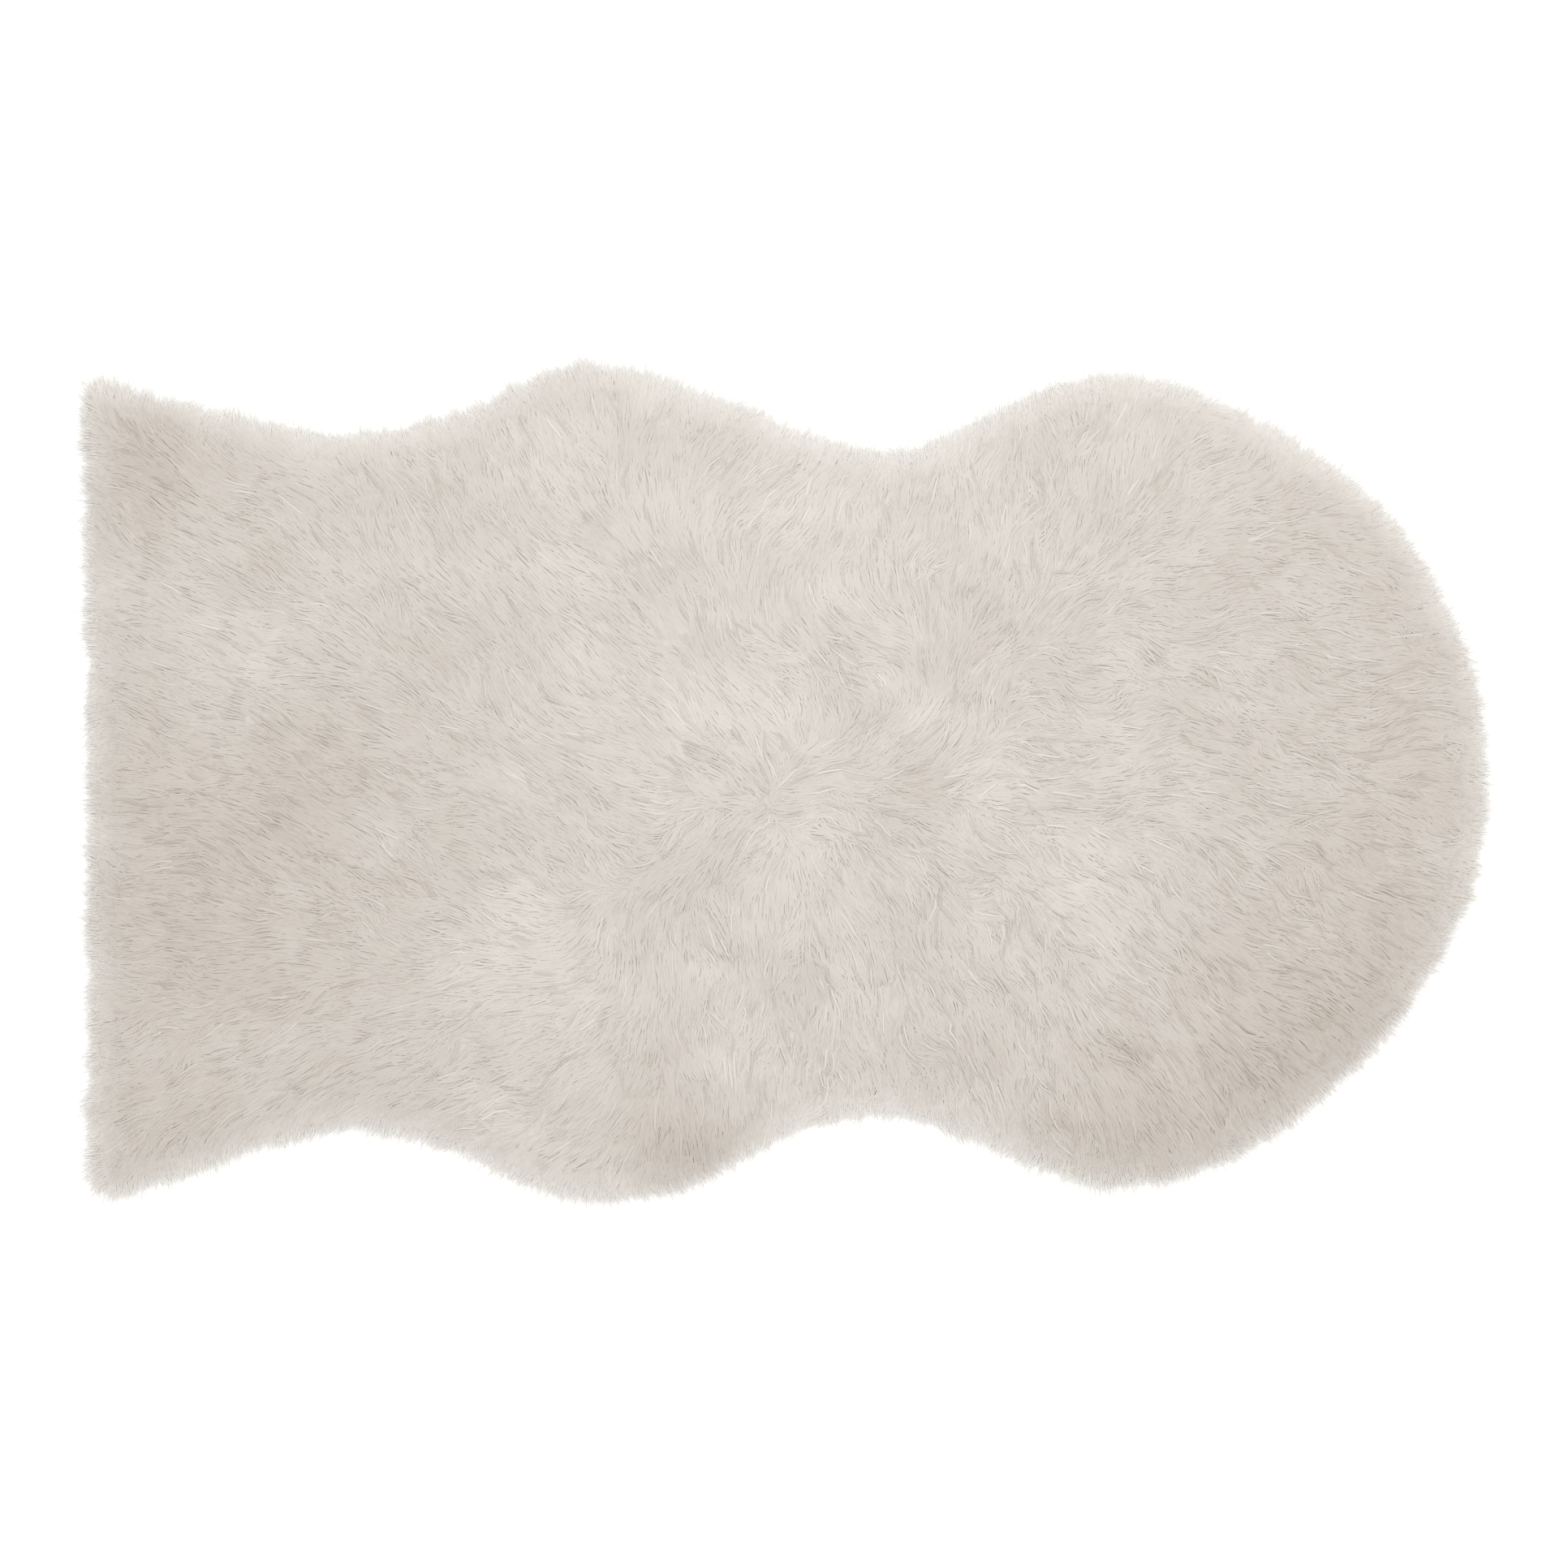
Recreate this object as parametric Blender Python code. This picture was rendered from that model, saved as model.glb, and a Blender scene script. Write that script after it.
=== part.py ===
"""A faux-sheepskin shag rug, lying flat with its pile up.

The rug is one piece of knitted pile fabric, cut to the outline of a fleece: a straight tail,
two waves down each side and a round head. It is one solid here. Its underside is the flat
ground cloth, its top is the lumpy crown of the pile, and its rim is a row of locks that lean
out over the cut edge and come to rest on the floor.

+X runs along the rug to its round head, +Y across it and +Z up. The origin is on the floor,
under the middle of the rug's bounding box.
"""

import math
import random
from collections import namedtuple

import bmesh
import bpy
from mathutils import Vector, kdtree, noise
from mathutils.geometry import delaunay_2d_cdt, interpolate_bezier

MM = 0.001

# The rug's driving sizes, in millimetres. A lock's ends stray by a share of its usual width.
LOCK_COUNT = 288
LOCK_REACH = 8.0
LOCK_SCATTER = 0.25
CROWN_HEIGHT = 23.0
EDGE_HEIGHT = 12.0
SHOULDER = 22.0
TUFT_SPACING = 14.0
TUFT_SCATTER = 3.5
TUFT_CLEARANCE = 8.0
SCATTER_SEED = 5

# How far the pile wanders from its even form, in millimetres. Noise seldom reaches past 0.6,
# so the gain brings its usual peaks up to a lump's height.
NOISE_GAIN = 1.6
Lump = namedtuple("Lump", "spacing height seed")
CROWN_LUMPS = (
    Lump(spacing=90.0, height=1.8, seed=3.5),
    Lump(spacing=38.0, height=2.2, seed=11.5),
    Lump(spacing=17.0, height=2.4, seed=29.5),
)
EDGE_LUMP = Lump(spacing=13.0, height=1.8, seed=41.5)
REACH_LUMP = Lump(spacing=8.0, height=2.4, seed=53.5)
SWAY_LUMP = Lump(spacing=14.0, height=2.4, seed=67.5)

# A lock between its root and its tip, as shares of its reach, width and height
LOCK_MIDDLE = 0.5
MIDDLE_WIDTH = 0.72
MIDDLE_HEIGHT = 0.68
TIP_HEIGHT = 0.14

# The rim's curve in steps from one of its places to the next, and how many stations away its
# direction is read, so that locks fan out evenly round a corner
SPAN_STEPS = 24
FAN_REACH = 2

# How the crown's points are joined into triangles: those inside the cut edge alone, with points
# this near made one
INSIDE_ONLY = 1
NEAR = 0.0001

FUR_COLOUR = (0.67, 0.615, 0.56, 1.0)
FUR_ROUGHNESS = 0.95

# Where the pile's tips end, seen from above and counter-clockwise, in millimetres
Place = namedtuple("Place", "x y")
TAIL = (
    Place(x=-478, y=285),
    Place(x=-493, y=289),
    Place(x=-499, y=283),
    Place(x=-498, y=264),
    Place(x=-496, y=150),
    Place(x=-495, y=0),
    Place(x=-494, y=-150),
    Place(x=-494, y=-274),
    Place(x=-488, y=-292),
    Place(x=-468, y=-293),
)
LOWER_SIDE = (
    Place(x=-418, y=-279),
    Place(x=-358, y=-258),
    Place(x=-298, y=-248),
    Place(x=-236, y=-262),
    Place(x=-172, y=-290),
    Place(x=-138, y=-298),
    Place(x=-94, y=-294),
    Place(x=-56, y=-284),
    Place(x=-20, y=-263),
    Place(x=52, y=-238),
    Place(x=112, y=-246),
    Place(x=180, y=-275),
    Place(x=236, y=-288),
)
HEAD = (
    Place(x=300, y=-275),
    Place(x=369, y=-236),
    Place(x=431, y=-175),
    Place(x=478, y=-104),
    Place(x=497, y=-32),
    Place(x=497, y=42),
    Place(x=478, y=110),
    Place(x=440, y=177),
    Place(x=378, y=234),
    Place(x=308, y=272),
)
UPPER_SIDE = (
    Place(x=236, y=290),
    Place(x=180, y=277),
    Place(x=111, y=246),
    Place(x=67, y=234),
    Place(x=20, y=247),
    Place(x=-50, y=275),
    Place(x=-96, y=291),
    Place(x=-134, y=298),
    Place(x=-170, y=290),
    Place(x=-232, y=263),
    Place(x=-290, y=248),
    Place(x=-358, y=255),
    Place(x=-430, y=272),
)
PILE_EDGE = TAIL + LOWER_SIDE + HEAD + UPPER_SIDE

Station = namedtuple("Station", "edge along inward")


def wander(at, lump):
    """The unevenness at a place: a smooth value of up to about plus or minus lump.height."""
    spot = Vector((at.x / lump.spacing, at.y / lump.spacing, lump.seed))
    return NOISE_GAIN * lump.height * noise.noise(spot)


def smooth_loop(places):
    """Points along one smooth closed curve through the places, in order."""
    knots = [Vector((place.x, place.y, 0.0)) for place in places]
    count = len(knots)
    loop = []
    for i, start in enumerate(knots):
        before, end, after = knots[i - 1], knots[(i + 1) % count], knots[(i + 2) % count]
        reach = (end - start).length / 3.0
        leaving = start + reach * (end - before).normalized()
        arriving = end - reach * (after - start).normalized()
        loop += interpolate_bezier(start, leaving, arriving, end, SPAN_STEPS)[:-1]
    return loop


def unevenly_spaced(loop, count):
    """The closed loop again, as count points, with steps that differ as locks of fur do."""
    scatter = random.Random(SCATTER_SEED)
    marks = [i + 0.5 + scatter.uniform(-LOCK_SCATTER, LOCK_SCATTER) for i in range(count)]
    lengths = [(loop[(i + 1) % len(loop)] - point).length for i, point in enumerate(loop)]
    step = sum(lengths) / count
    points = []
    travelled = 0.0
    for i, point in enumerate(loop):
        while len(points) < count and marks[len(points)] * step < travelled + lengths[i]:
            share = (marks[len(points)] * step - travelled) / lengths[i]
            points.append(point.lerp(loop[(i + 1) % len(loop)], share))
        travelled += lengths[i]
    return points


def rim_stations():
    """The places around the pile's edge where one lock ends and the next begins."""
    points = unevenly_spaced(smooth_loop(PILE_EDGE), LOCK_COUNT)
    stations = []
    for i, point in enumerate(points):
        along = (points[(i + FAN_REACH) % LOCK_COUNT] - points[i - FAN_REACH]).normalized()
        stations.append(Station(edge=point, along=along, inward=Vector((-along.y, along.x, 0.0))))
    return stations


def depth_finder(stations):
    """A function that gives how far a place lies inside the cut edge, in millimetres."""
    tree = kdtree.KDTree(len(stations))
    for i, station in enumerate(stations):
        tree.insert(station.edge, i)
    tree.balance()

    def depth(at):
        nearest = stations[tree.find(at)[1]]
        return (at - nearest.edge).dot(nearest.inward) - LOCK_REACH

    return depth


def pile_height(at, depth):
    """The height of the crown at a place: a round shoulder at the rim, and lumps all over."""
    rise = 1.0 - math.exp(-max(depth, 0.0) / SHOULDER)
    lumps = sum(wander(at, lump) for lump in CROWN_LUMPS)
    return EDGE_HEIGHT + (CROWN_HEIGHT - EDGE_HEIGHT) * rise + rise * lumps


def tuft_tops(depth_at):
    """Scattered places all over the pile, in staggered rows, clear of the cut edge."""
    scatter = random.Random(SCATTER_SEED)
    length = max(abs(place.x) for place in PILE_EDGE)
    width = max(abs(place.y) for place in PILE_EDGE)
    row_step = TUFT_SPACING * math.sqrt(3.0) / 2.0
    rows = math.ceil(width / row_step)
    columns = math.ceil(length / TUFT_SPACING)
    tops = []
    for row in range(-rows, rows + 1):
        for column in range(-columns, columns + 1):
            x = (column + 0.5 * (row % 2)) * TUFT_SPACING
            at = Vector((x, row * row_step, 0.0))
            at.x += scatter.uniform(-TUFT_SCATTER, TUFT_SCATTER)
            at.y += scatter.uniform(-TUFT_SCATTER, TUFT_SCATTER)
            if depth_at(at) > TUFT_CLEARANCE:
                tops.append(at)
    return tops


def add_crown(mesh, cut_edge, tops, depth_at):
    """Cover the pile with triangles, and return the row of points above the cut edge."""
    flat = [point.to_2d() for point in cut_edge + tops]
    rim = [list(range(len(cut_edge)))]
    places, _, faces, sources, _, _ = delaunay_2d_cdt(flat, [], rim, INSIDE_ONLY, NEAR)
    points = []
    shoulder = [None] * len(cut_edge)
    for place, source in zip(places, sources):
        at = place.to_3d()
        on_rim = source[0] < len(cut_edge)
        height = EDGE_HEIGHT + wander(at, EDGE_LUMP) if on_rim else pile_height(at, depth_at(at))
        point = mesh.verts.new(Vector((at.x, at.y, height)))
        points.append(point)
        if on_rim:
            shoulder[source[0]] = point
    for face in faces:
        mesh.faces.new([points[i] for i in face])
    return shoulder


def add_lock(mesh, root, start, end):
    """Grow one lock out of the cut edge, between two stations of the rim.

    The root is its four corners there, seen from outside: low at the start and at the end,
    then high at the end and at the start. The underside lies level on the floor, and the tip
    is a short upright edge.
    """
    middle = (start.edge + end.edge) / 2.0
    along = (start.along + end.along).normalized()
    inward = (start.inward + end.inward).normalized()
    tip = middle + wander(middle, SWAY_LUMP) * along + wander(middle, REACH_LUMP) * inward
    heart = (root[0].co + root[1].co) / 2.0
    axis = heart.lerp(tip, LOCK_MIDDLE)
    waist = []
    for corner in root:
        across = (corner.co - heart).dot(along) * MIDDLE_WIDTH
        point = axis + across * along
        point.z = corner.co.z * MIDDLE_HEIGHT
        waist.append(mesh.verts.new(point))
    for i in range(4):
        mesh.faces.new((root[i - 1], root[i], waist[i], waist[i - 1]))
    top = mesh.verts.new(Vector((tip.x, tip.y, root[2].co.z * TIP_HEIGHT)))
    foot = mesh.verts.new(Vector((tip.x, tip.y, 0.0)))
    mesh.faces.new((waist[0], waist[1], foot))
    mesh.faces.new((waist[1], waist[2], top, foot))
    mesh.faces.new((waist[2], waist[3], top))
    mesh.faces.new((waist[3], waist[0], foot, top))


def add_pile(mesh):
    """Build the whole rug: its crown, its rim of locks and its flat underside."""
    stations = rim_stations()
    depth_at = depth_finder(stations)
    cut_edge = [station.edge + LOCK_REACH * station.inward for station in stations]
    shoulder = add_crown(mesh, cut_edge, tuft_tops(depth_at), depth_at)
    sole = [mesh.verts.new(point) for point in cut_edge]
    mesh.faces.new(reversed(sole))
    for i in range(LOCK_COUNT):
        root = (sole[i - 1], sole[i], shoulder[i], shoulder[i - 1])
        add_lock(mesh, root, stations[i - 1], stations[i])


def centre(mesh):
    """Move the rug so that the middle of its bounding box is at X and Y zero."""
    xs = [point.co.x for point in mesh.verts]
    ys = [point.co.y for point in mesh.verts]
    middle = Vector(((min(xs) + max(xs)) / 2.0, (min(ys) + max(ys)) / 2.0, 0.0))
    bmesh.ops.translate(mesh, verts=mesh.verts, vec=-middle)


def fur_material():
    """Plain soft fur, without the pattern of its strands."""
    material = bpy.data.materials.new("fur")
    material.use_nodes = True
    shader = material.node_tree.nodes["Principled BSDF"]
    shader.inputs["Base Color"].default_value = FUR_COLOUR
    shader.inputs["Roughness"].default_value = FUR_ROUGHNESS
    shader.inputs["Metallic"].default_value = 0.0
    return material


def make_rug():
    """The rug as one object, in metres."""
    mesh = bmesh.new()
    add_pile(mesh)
    centre(mesh)
    bmesh.ops.scale(mesh, verts=mesh.verts, vec=Vector((MM, MM, MM)))
    data = bpy.data.meshes.new("rug")
    mesh.to_mesh(data)
    mesh.free()
    rug = bpy.data.objects.new("rug", data)
    rug.data.materials.append(fur_material())
    bpy.context.collection.objects.link(rug)
    return rug


for leftover in list(bpy.data.objects):
    bpy.data.objects.remove(leftover)

make_rug()
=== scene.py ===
"""The looks of a fleece-shaped faux-sheepskin rug, seen from straight above on a pale floor.

The rug's solid gives the outline, the cut edge and the height of the pile. Around it this script
builds what a maker would: a knitted ground cloth, a felted undercoat, and the long pile as
tapering strands that gather into wisps and follow the lay of the fur.
"""

import logging
import math
from dataclasses import dataclass, field
from enum import Enum

import bpy
import numpy as np
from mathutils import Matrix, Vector, kdtree
from mathutils.bvhtree import BVHTree
from mathutils.geometry import delaunay_2d_cdt

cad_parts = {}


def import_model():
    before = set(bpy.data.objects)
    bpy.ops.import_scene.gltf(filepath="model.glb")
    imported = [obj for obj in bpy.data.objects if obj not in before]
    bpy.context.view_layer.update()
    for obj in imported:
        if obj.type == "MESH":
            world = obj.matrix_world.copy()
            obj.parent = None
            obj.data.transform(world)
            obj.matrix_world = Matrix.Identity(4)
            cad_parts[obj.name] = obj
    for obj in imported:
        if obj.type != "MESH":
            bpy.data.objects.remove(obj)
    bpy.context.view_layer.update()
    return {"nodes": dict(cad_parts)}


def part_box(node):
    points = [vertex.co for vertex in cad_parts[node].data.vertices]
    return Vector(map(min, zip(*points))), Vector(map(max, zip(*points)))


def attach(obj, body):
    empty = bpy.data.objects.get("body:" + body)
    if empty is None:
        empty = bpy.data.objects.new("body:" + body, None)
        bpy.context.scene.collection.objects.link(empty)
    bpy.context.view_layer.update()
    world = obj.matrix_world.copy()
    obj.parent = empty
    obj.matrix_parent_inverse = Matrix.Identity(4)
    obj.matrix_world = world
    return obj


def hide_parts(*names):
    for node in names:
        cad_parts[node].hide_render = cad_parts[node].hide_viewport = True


MM = 0.001
# The strands' UV map (tone across, root to tip up) and the undercoat's tone in each point
STRAND_MAP = "OFBake"
TONE_VALUES = "fur_tone"
# The step between the tufts of the pile, and where a strand's points lie along it
WISP_PITCH = 7.5 * MM
STRAND_SHARES = (0.0, 0.27, 0.54, 0.81, 1.0)

Colour = tuple[float, float, float, float]

logger = logging.getLogger("rug")


class Layer(Enum):
    """The layers of the rug, from the floor up, with the names of their pieces."""

    GROUND = "ground_cloth"
    UNDERCOAT = "undercoat"
    PILE = "pile"


@dataclass(frozen=True)
class Lay:
    """Where the tips of the fur point at one place, in degrees from +X towards +Y."""

    x: float
    y: float
    heading: float


@dataclass(frozen=True)
class Patch:
    """A soft round patch where something about the fur changes, by the most at its middle."""

    x: float
    y: float
    radius: float
    change: float


# How the fur lies, from its two crowns near the middle out to the rim
LAY_OF_THE_FUR = (
    Lay(-0.464, 0.233, 162), Lay(-0.372, 0.215, 158), Lay(-0.285, 0.190, 124),
    Lay(-0.200, 0.225, 108), Lay(-0.142, 0.240, 120), Lay(-0.142, 0.170, 152),
    Lay(-0.096, 0.245, 84), Lay(-0.050, 0.240, 60), Lay(-0.005, 0.195, 45),
    Lay(0.045, 0.190, 67), Lay(0.087, 0.220, 56), Lay(0.135, 0.190, 90),
    Lay(0.179, 0.225, 95), Lay(0.225, 0.215, 84), Lay(0.271, 0.250, 60),
    Lay(0.317, 0.225, 34), Lay(0.363, 0.180, 3), Lay(0.415, 0.180, -14),
    Lay(0.300, 0.150, -4), Lay(0.271, 0.095, -20), Lay(0.363, 0.070, -26),
    Lay(0.450, 0.040, -14), Lay(0.190, 0.080, -62), Lay(0.225, 0.020, -2),
    Lay(0.340, -0.015, -28), Lay(0.455, -0.050, -17), Lay(0.271, -0.060, -22),
    Lay(0.160, -0.045, -28), Lay(0.085, -0.008, -8), Lay(0.060, -0.060, -60),
    Lay(0.390, -0.130, -20), Lay(0.271, -0.150, -46), Lay(0.363, -0.190, -42),
    Lay(0.290, -0.235, -54), Lay(0.200, -0.240, -68), Lay(0.160, -0.150, -62),
    Lay(0.090, -0.200, -75), Lay(0.035, -0.150, -84), Lay(-0.050, -0.225, -84),
    Lay(-0.050, -0.100, -68), Lay(-0.105, -0.120, -64), Lay(-0.150, -0.225, 214),
    Lay(-0.165, -0.160, 168), Lay(-0.250, -0.165, 192), Lay(-0.350, -0.220, 208),
    Lay(-0.464, -0.235, 204), Lay(-0.430, -0.140, 184), Lay(-0.464, -0.020, 180),
    Lay(-0.365, -0.045, 145), Lay(-0.285, -0.080, 150), Lay(-0.200, -0.075, 146),
    Lay(-0.130, -0.050, 128), Lay(-0.045, 0.005, 132), Lay(-0.020, 0.070, 150),
    Lay(0.060, 0.095, 168), Lay(0.135, 0.125, 88), Lay(-0.090, 0.115, 128),
    Lay(-0.188, 0.085, 114), Lay(-0.245, 0.120, 138), Lay(-0.142, 0.035, 156),
    Lay(-0.270, 0.030, 160), Lay(-0.340, 0.090, 166), Lay(-0.430, 0.080, 163),
    Lay(0.100, 0.030, 60), Lay(0.145, 0.065, 66), Lay(0.185, 0.120, 50),
    Lay(0.230, 0.160, 40), Lay(0.020, -0.015, 0), Lay(-0.030, -0.045, 225),
    Lay(-0.080, -0.080, 232), Lay(-0.120, -0.110, 240), Lay(-0.140, -0.165, 236),
    Lay(-0.488, 0.279, 108), Lay(-0.462, 0.268, 112), Lay(-0.482, -0.286, 250),
    Lay(-0.455, -0.280, 245),
)

# Where the fur looks lighter or darker from a step away: partly the fibres' own tone, partly painted light
# and shade for how the light falls on fur that lies different ways
TONE_AND_PAINTED_LIGHT_PATCHES = (
    Patch(0.44, -0.26, 0.18, -0.38), Patch(-0.46, -0.14, 0.18, -0.14), Patch(0.06, 0.10, 0.18, 0.11),
    Patch(-0.44, 0.22, 0.06, -0.22), Patch(0.46, 0.10, 0.09, -0.15), Patch(-0.06, -0.26, 0.04, -0.34),
    Patch(-0.32, 0.00, 0.04, -0.19), Patch(-0.18, -0.14, 0.09, 0.07), Patch(0.20, -0.08, 0.04, 0.14),
    Patch(0.24, -0.26, 0.06, -0.16), Patch(-0.16, 0.18, 0.04, 0.11), Patch(-0.36, 0.08, 0.04, 0.10),
    Patch(0.12, 0.08, 0.04, -0.13), Patch(0.06, -0.02, 0.04, -0.10),
)

# Where the fur reaches farther over the rim than elsewhere, or less far
REACH_PATCHES = (
    Patch(-0.49, 0.285, 0.03, 6.0 * MM), Patch(-0.485, -0.288, 0.03, 5.5 * MM),
    Patch(-0.495, -0.08, 0.13, -2.8 * MM), Patch(-0.38, -0.265, 0.09, 1.6 * MM),
    Patch(-0.20, -0.28, 0.06, 1.8 * MM), Patch(0.24, -0.27, 0.15, 1.2 * MM),
    Patch(0.065, 0.234, 0.025, -2.5 * MM), Patch(0.49, 0.09, 0.08, 1.8 * MM),
)

# Where the fur is more ruffled than elsewhere, or smoother
RUFFLE_PATCHES = (
    Patch(0.06, -0.02, 0.08, 0.50), Patch(0.25, 0.00, 0.24, 0.45), Patch(0.37, -0.19, 0.11, -0.35),
    Patch(0.08, -0.20, 0.08, 0.50), Patch(-0.22, -0.18, 0.10, 0.30), Patch(-0.10, -0.10, 0.08, -0.35),
    Patch(-0.14, 0.16, 0.13, -0.25), Patch(-0.42, 0.19, 0.11, -0.30),
)

# Where more of the strands than elsewhere carry painted shade, as dark strokes for the shaded gaps between
# tufts
PAINTED_SHADE_STROKE_PATCHES = (
    Patch(0.35, -0.20, 0.13, 2.4), Patch(-0.42, -0.06, 0.12, 0.6), Patch(0.44, 0.00, 0.08, 0.6),
    Patch(-0.10, 0.24, 0.12, -0.4),
)


def patched(usual: float, patches: tuple[Patch, ...], places: np.ndarray) -> np.ndarray:
    """A value that differs from its usual one in some patches of the rug.

    Args:
        usual: The value outside the patches.
        patches: The patches.
        places: Places on the rug, in metres.

    Returns:
        One value for each place.
    """
    value = np.full(places.shape[:-1], usual)
    for patch in patches:
        away = ((places[..., 0] - patch.x) ** 2 + (places[..., 1] - patch.y) ** 2) / patch.radius ** 2
        value = value + patch.change * np.exp(-away)
    return value


@dataclass(frozen=True)
class SmoothNoise:
    """Smooth random values between -1 and 1 over the floor, the same in each run."""

    spacing: float
    seed: int
    lattice: int = 256

    def at(self, places: np.ndarray) -> np.ndarray:
        """The noise at places on the floor.

        Args:
            places: Places on the rug, in metres.

        Returns:
            One value for each place.
        """
        grid = np.random.default_rng(self.seed).uniform(-1.0, 1.0, (self.lattice, self.lattice))
        u, v = (places[..., axis] / self.spacing + self.lattice / 2 for axis in (0, 1))
        i, j = np.floor(u).astype(int), np.floor(v).astype(int)
        s, t = u - i, v - j
        s, t = s * s * (3.0 - 2.0 * s), t * t * (3.0 - 2.0 * t)
        i, j, n = i % self.lattice, j % self.lattice, self.lattice
        low = grid[i, j] * (1.0 - s) + grid[(i + 1) % n, j] * s
        high = grid[i, (j + 1) % n] * (1.0 - s) + grid[(i + 1) % n, (j + 1) % n] * s
        return low * (1.0 - t) + high * t


@dataclass(frozen=True)
class Ruffle:
    """How ruffled the fur is, from near 0 where it is quite smooth to about 2."""

    usual: float = 0.75
    swing: float = 0.55
    least: float = 0.1
    most: float = 2.0
    clusters: tuple[SmoothNoise, ...] = (
        SmoothNoise(spacing=26.0 * MM, seed=51), SmoothNoise(spacing=13.0 * MM, seed=52),
    )

    def at(self, places: np.ndarray) -> np.ndarray:
        """The ruffle at places on the rug."""
        uneven = sum(noise.at(places) for noise in self.clusters)
        ruffle = patched(self.usual, RUFFLE_PATCHES, places) + self.swing * uneven
        return np.clip(ruffle, self.least, self.most)


def towards(heading: np.ndarray) -> np.ndarray:
    """Steps of length one along some headings in radians, with X and Y in each row."""
    return np.stack([np.cos(heading), np.sin(heading)], axis=1)


def softened(field_values: np.ndarray, passes: int) -> np.ndarray:
    """Blur a grid of values a little.

    Args:
        field_values: The grid.
        passes: How many times each value is mixed with its neighbours.

    Returns:
        The blurred grid, of the same shape.
    """
    values = field_values
    for _ in range(passes):
        wide = np.pad(values, 1, mode="edge")
        values = (2.0 * wide[1:-1, 1:-1] + wide[:-2, 1:-1] + wide[2:, 1:-1]
                  + wide[1:-1, :-2] + wide[1:-1, 2:]) / 6.0
    return values


@dataclass
class PileForm:
    """The height of the solid rug, and how far each place lies in from the rim of its pile."""

    solid: bpy.types.Object
    step: float = 2.0 * MM
    margin: float = 24.0 * MM
    rim_belt: float = 17.0 * MM
    rim_height: float = 0.2 * MM
    lock_gap: float = 8.0 * MM
    steepest: float = 0.12
    height_passes: int = 14
    inset_passes: int = 3
    slope_passes: int = 24
    evened: float = 0.35
    low: Vector = field(init=False)
    height: np.ndarray = field(init=False)
    inset: np.ndarray = field(init=False)
    slope: tuple[np.ndarray, np.ndarray] = field(init=False)
    tilt: tuple[np.ndarray, np.ndarray] = field(init=False)

    def __post_init__(self) -> None:
        """Read the solid once, on an even grid."""
        low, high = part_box(self.solid.name)
        self.low = Vector((low[0] - self.margin, low[1] - self.margin, 0.0))
        columns = math.ceil((high[0] + self.margin - self.low.x) / self.step) + 1
        rows = math.ceil((high[1] + self.margin - self.low.y) / self.step) + 1
        tree = BVHTree.FromObject(self.solid, bpy.context.evaluated_depsgraph_get())
        above, down = high[2] + self.margin, Vector((0.0, 0.0, -1.0))
        raw = np.zeros((columns, rows))
        for i in range(columns):
            for j in range(rows):
                start = Vector((self.low.x + i * self.step, self.low.y + j * self.step, above))
                hit = tree.ray_cast(start, down)[0]
                raw[i, j] = hit.z if hit else 0.0
        self.height = softened(raw, self.height_passes)
        closed = self.signed_distance(raw > self.rim_height) > -self.lock_gap
        self.inset = softened(self.signed_distance(closed) - self.lock_gap, self.inset_passes)
        self.slope = np.gradient(softened(self.inset, self.slope_passes), self.step)
        self.tilt = np.gradient(self.height, self.step)

    def signed_distance(self, inside: np.ndarray) -> np.ndarray:
        """How far each grid place lies from the edge of a shape on the grid.

        Args:
            inside: True where a grid place is in the shape.

        Returns:
            Distances in metres, positive inside the shape and negative outside it.
        """
        wide = np.pad(inside, 1)
        beside = (wide[:-2, 1:-1], wide[2:, 1:-1], wide[1:-1, :-2], wide[1:-1, 2:])
        distance = np.zeros(inside.shape)
        for side, sign in ((True, 1.0), (False, -1.0)):
            rim = (inside != side) & np.logical_or.reduce([near == side for near in beside])
            tree = kdtree.KDTree(int(rim.sum()))
            for n, (i, j) in enumerate(np.argwhere(rim)):
                tree.insert((i, j, 0.0), n)
            tree.balance()
            for i, j in np.argwhere(inside == side):
                away = tree.find((i, j, 0.0))[2] - 0.5
                distance[i, j] = sign * away * self.step
        return distance

    def sample(self, values: np.ndarray, places: np.ndarray) -> np.ndarray:
        """Read one of the grids between its places.

        Args:
            values: The grid.
            places: Places on the rug, in metres.

        Returns:
            One value for each place.
        """
        u, v = (np.clip((places[..., axis] - self.low[axis]) / self.step, 0.0, values.shape[axis] - 1.001)
                for axis in (0, 1))
        i, j = u.astype(int), v.astype(int)
        s, t = u - i, v - j
        return ((values[i, j] * (1.0 - s) + values[i + 1, j] * s) * (1.0 - t)
                + (values[i, j + 1] * (1.0 - s) + values[i + 1, j + 1] * s) * t)

    def height_at(self, places: np.ndarray) -> np.ndarray:
        """The height of the pile, in metres."""
        return self.sample(self.height, places)

    def inset_at(self, places: np.ndarray) -> np.ndarray:
        """How far places lie in from the rim of the pile, in metres."""
        return self.sample(self.inset, places)

    def inner_at(self, places: np.ndarray) -> np.ndarray:
        """How far across the rim's belt places lie, from 0 at the rim to 1 past the belt."""
        return np.clip(self.inset_at(places) / self.rim_belt, 0.0, 1.0)

    def outward_at(self, places: np.ndarray) -> np.ndarray:
        """The heading that leads straight out over the nearest edge, in radians."""
        return np.arctan2(-self.sample(self.slope[1], places), -self.sample(self.slope[0], places))

    def normal_at(self, places: np.ndarray) -> np.ndarray:
        """The directions in which the crown of the pile faces.

        Args:
            places: Places on the rug, in metres.

        Returns:
            One direction of length one for each place, in the last axis.
        """
        across, along = (np.clip(self.evened * self.sample(tilt, places), -self.steepest, self.steepest)
                         for tilt in self.tilt)
        normal = np.stack([-across, -along, np.ones(across.shape)], axis=-1)
        return normal / np.linalg.norm(normal, axis=-1, keepdims=True)


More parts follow.
